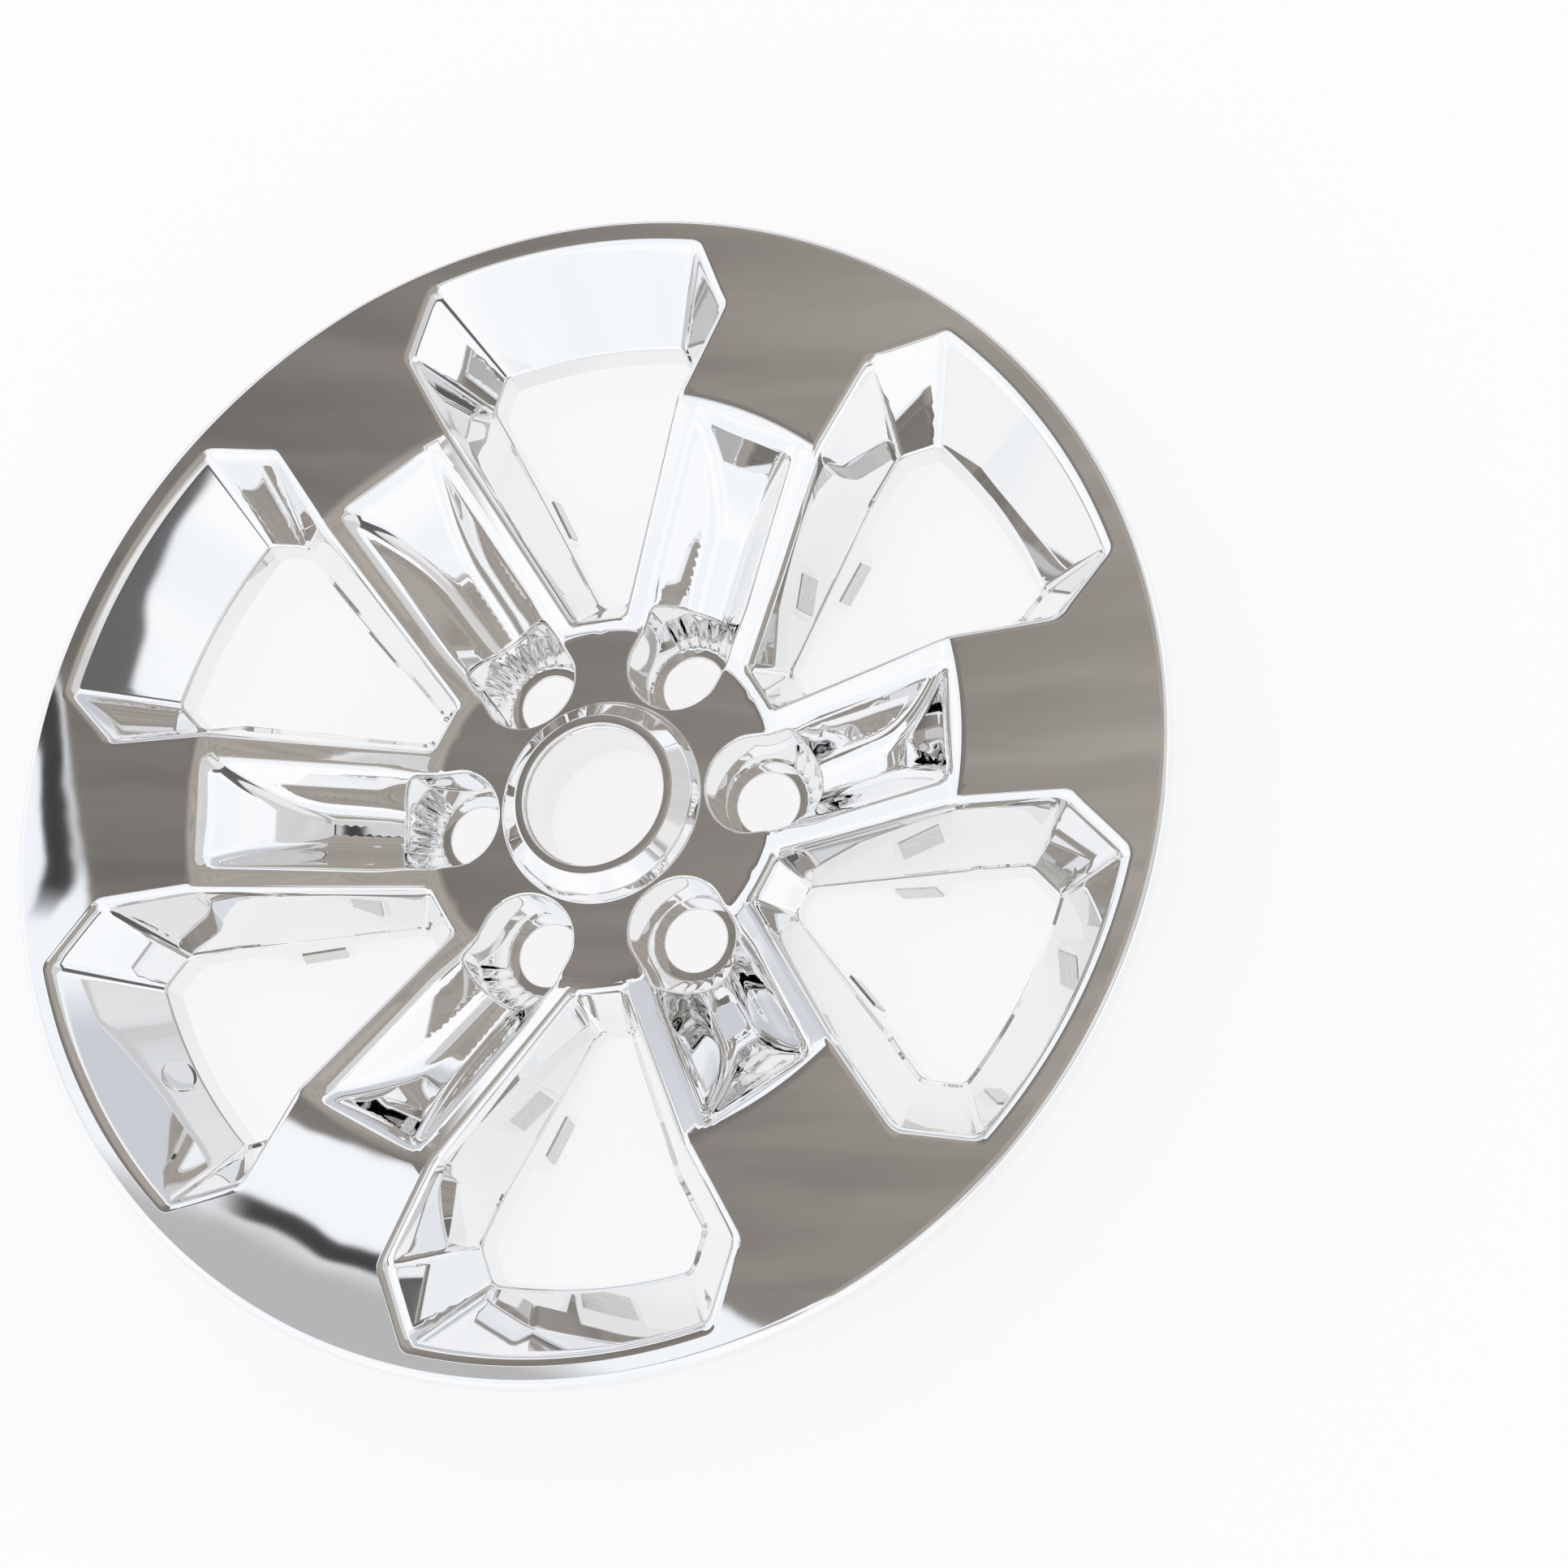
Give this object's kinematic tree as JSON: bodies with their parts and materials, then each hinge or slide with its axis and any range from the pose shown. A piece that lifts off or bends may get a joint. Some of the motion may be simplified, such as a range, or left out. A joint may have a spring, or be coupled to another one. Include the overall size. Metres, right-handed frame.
{
  "type": "wheel cover",
  "caption": "Chrome-plated dished wheel cover with wedge windows between broad spokes, fluted lug wells, an open hub bore and folded steel clips that hold it on a truck wheel.",
  "frame": {"origin": "on the wheel axis, in the plane of the lug seats that the cover rests on", "axes": "+Z along the wheel axis, out of the shown face; one window is centred on +Y"},
  "size_m": [0.53, 0.53, 0.082],
  "materials": {
    "chrome_skin": "mirror chrome plating on moulded plastic",
    "clip_steel": "bare spring steel"
  },
  "bodies": {
    "root": {"cover_shell": "chrome_skin", "retention_clip_01": "clip_steel", "retention_clip_02": "clip_steel", "retention_clip_03": "clip_steel", "retention_clip_04": "clip_steel", "retention_clip_05": "clip_steel", "retention_clip_06": "clip_steel", "retention_clip_07": "clip_steel", "retention_clip_08": "clip_steel", "retention_clip_09": "clip_steel", "retention_clip_10": "clip_steel", "retention_clip_11": "clip_steel", "retention_clip_12": "clip_steel"}
  },
  "joints": []
}
